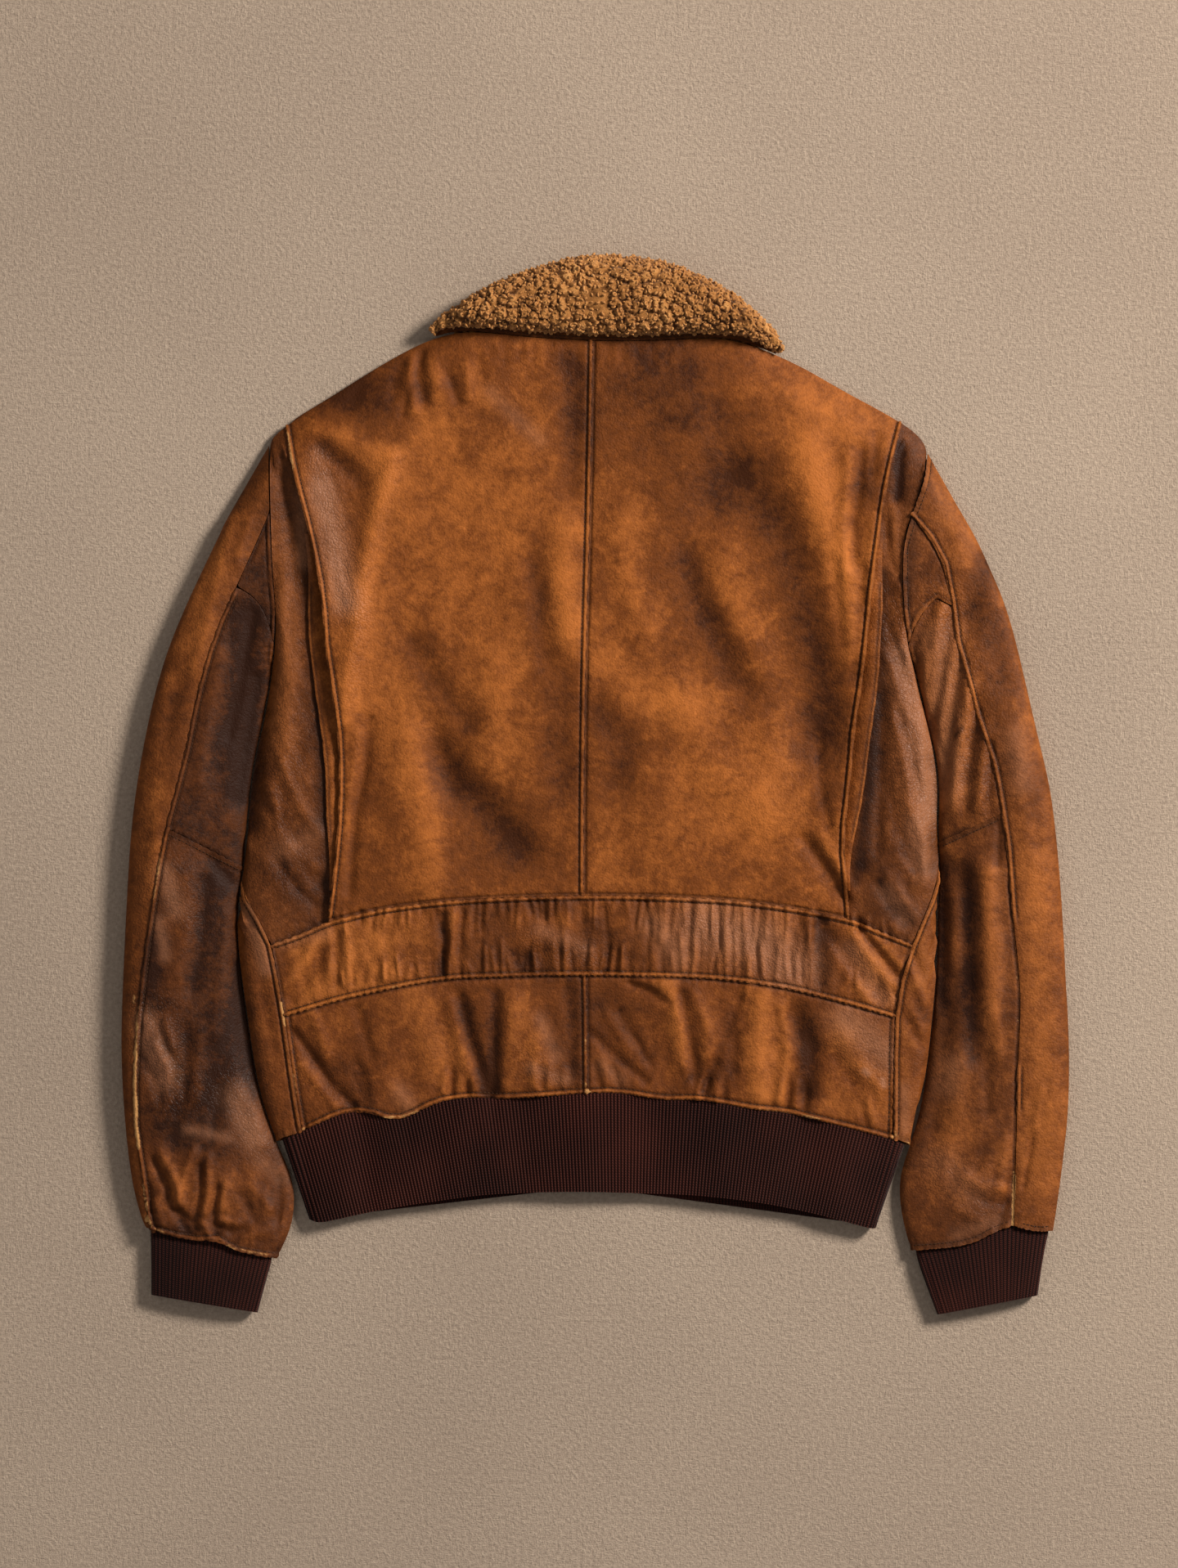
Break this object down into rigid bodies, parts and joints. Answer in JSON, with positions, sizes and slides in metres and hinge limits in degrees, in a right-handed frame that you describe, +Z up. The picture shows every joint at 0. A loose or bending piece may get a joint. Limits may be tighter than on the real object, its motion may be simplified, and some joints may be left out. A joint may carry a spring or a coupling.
{
  "type": "worn leather jacket",
  "caption": "Waist-length leather jacket laid flat on its front: hollow body and sleeves, ribbed knit waistband and cuffs, shearling collar.",
  "frame": {"origin": "middle of the jacket's bounding box on the surface that it lies on", "axes": "+Z up off the surface, +Y towards the collar, +X towards the jacket's right sleeve, which is on the right as its back is seen from above"},
  "size_m": [0.718, 0.8024, 0.0306],
  "materials": {
    "leather": "tan-brown horsehide, worn to a mottled nap, with scuffed lighter edges",
    "dark_leather": "darker, smoother and glossier areas of the same hide",
    "knit": "dark maroon-brown rib knit wool; the zip tape is a woven cotton in the same colour",
    "shearling": "golden-brown curled sheepskin pile on its hide",
    "zip_metal": "dull brass"
  },
  "bodies": {
    "root": {"back_left": "leather", "back_right": "leather", "belt": "leather", "collar_back": "shearling", "collar_front_left": "shearling", "collar_front_right": "shearling", "collar_stand": "leather", "cuff_left": "knit", "cuff_right": "knit", "front_left": "leather", "front_right": "leather", "gusset_left": "leather", "gusset_right": "leather", "lower_back_left": "leather", "lower_back_right": "leather", "pleat_left": "leather", "pleat_right": "leather", "side_panel_left": "dark_leather", "side_panel_right": "dark_leather", "sleeve_lower_left": "dark_leather", "sleeve_lower_right": "leather", "sleeve_outer_left": "leather", "sleeve_outer_right": "leather", "sleeve_upper_left": "leather", "sleeve_upper_right": "dark_leather", "waistband": "knit", "zip_slider": "zip_metal", "zip_tape": "knit"}
  },
  "joints": []
}
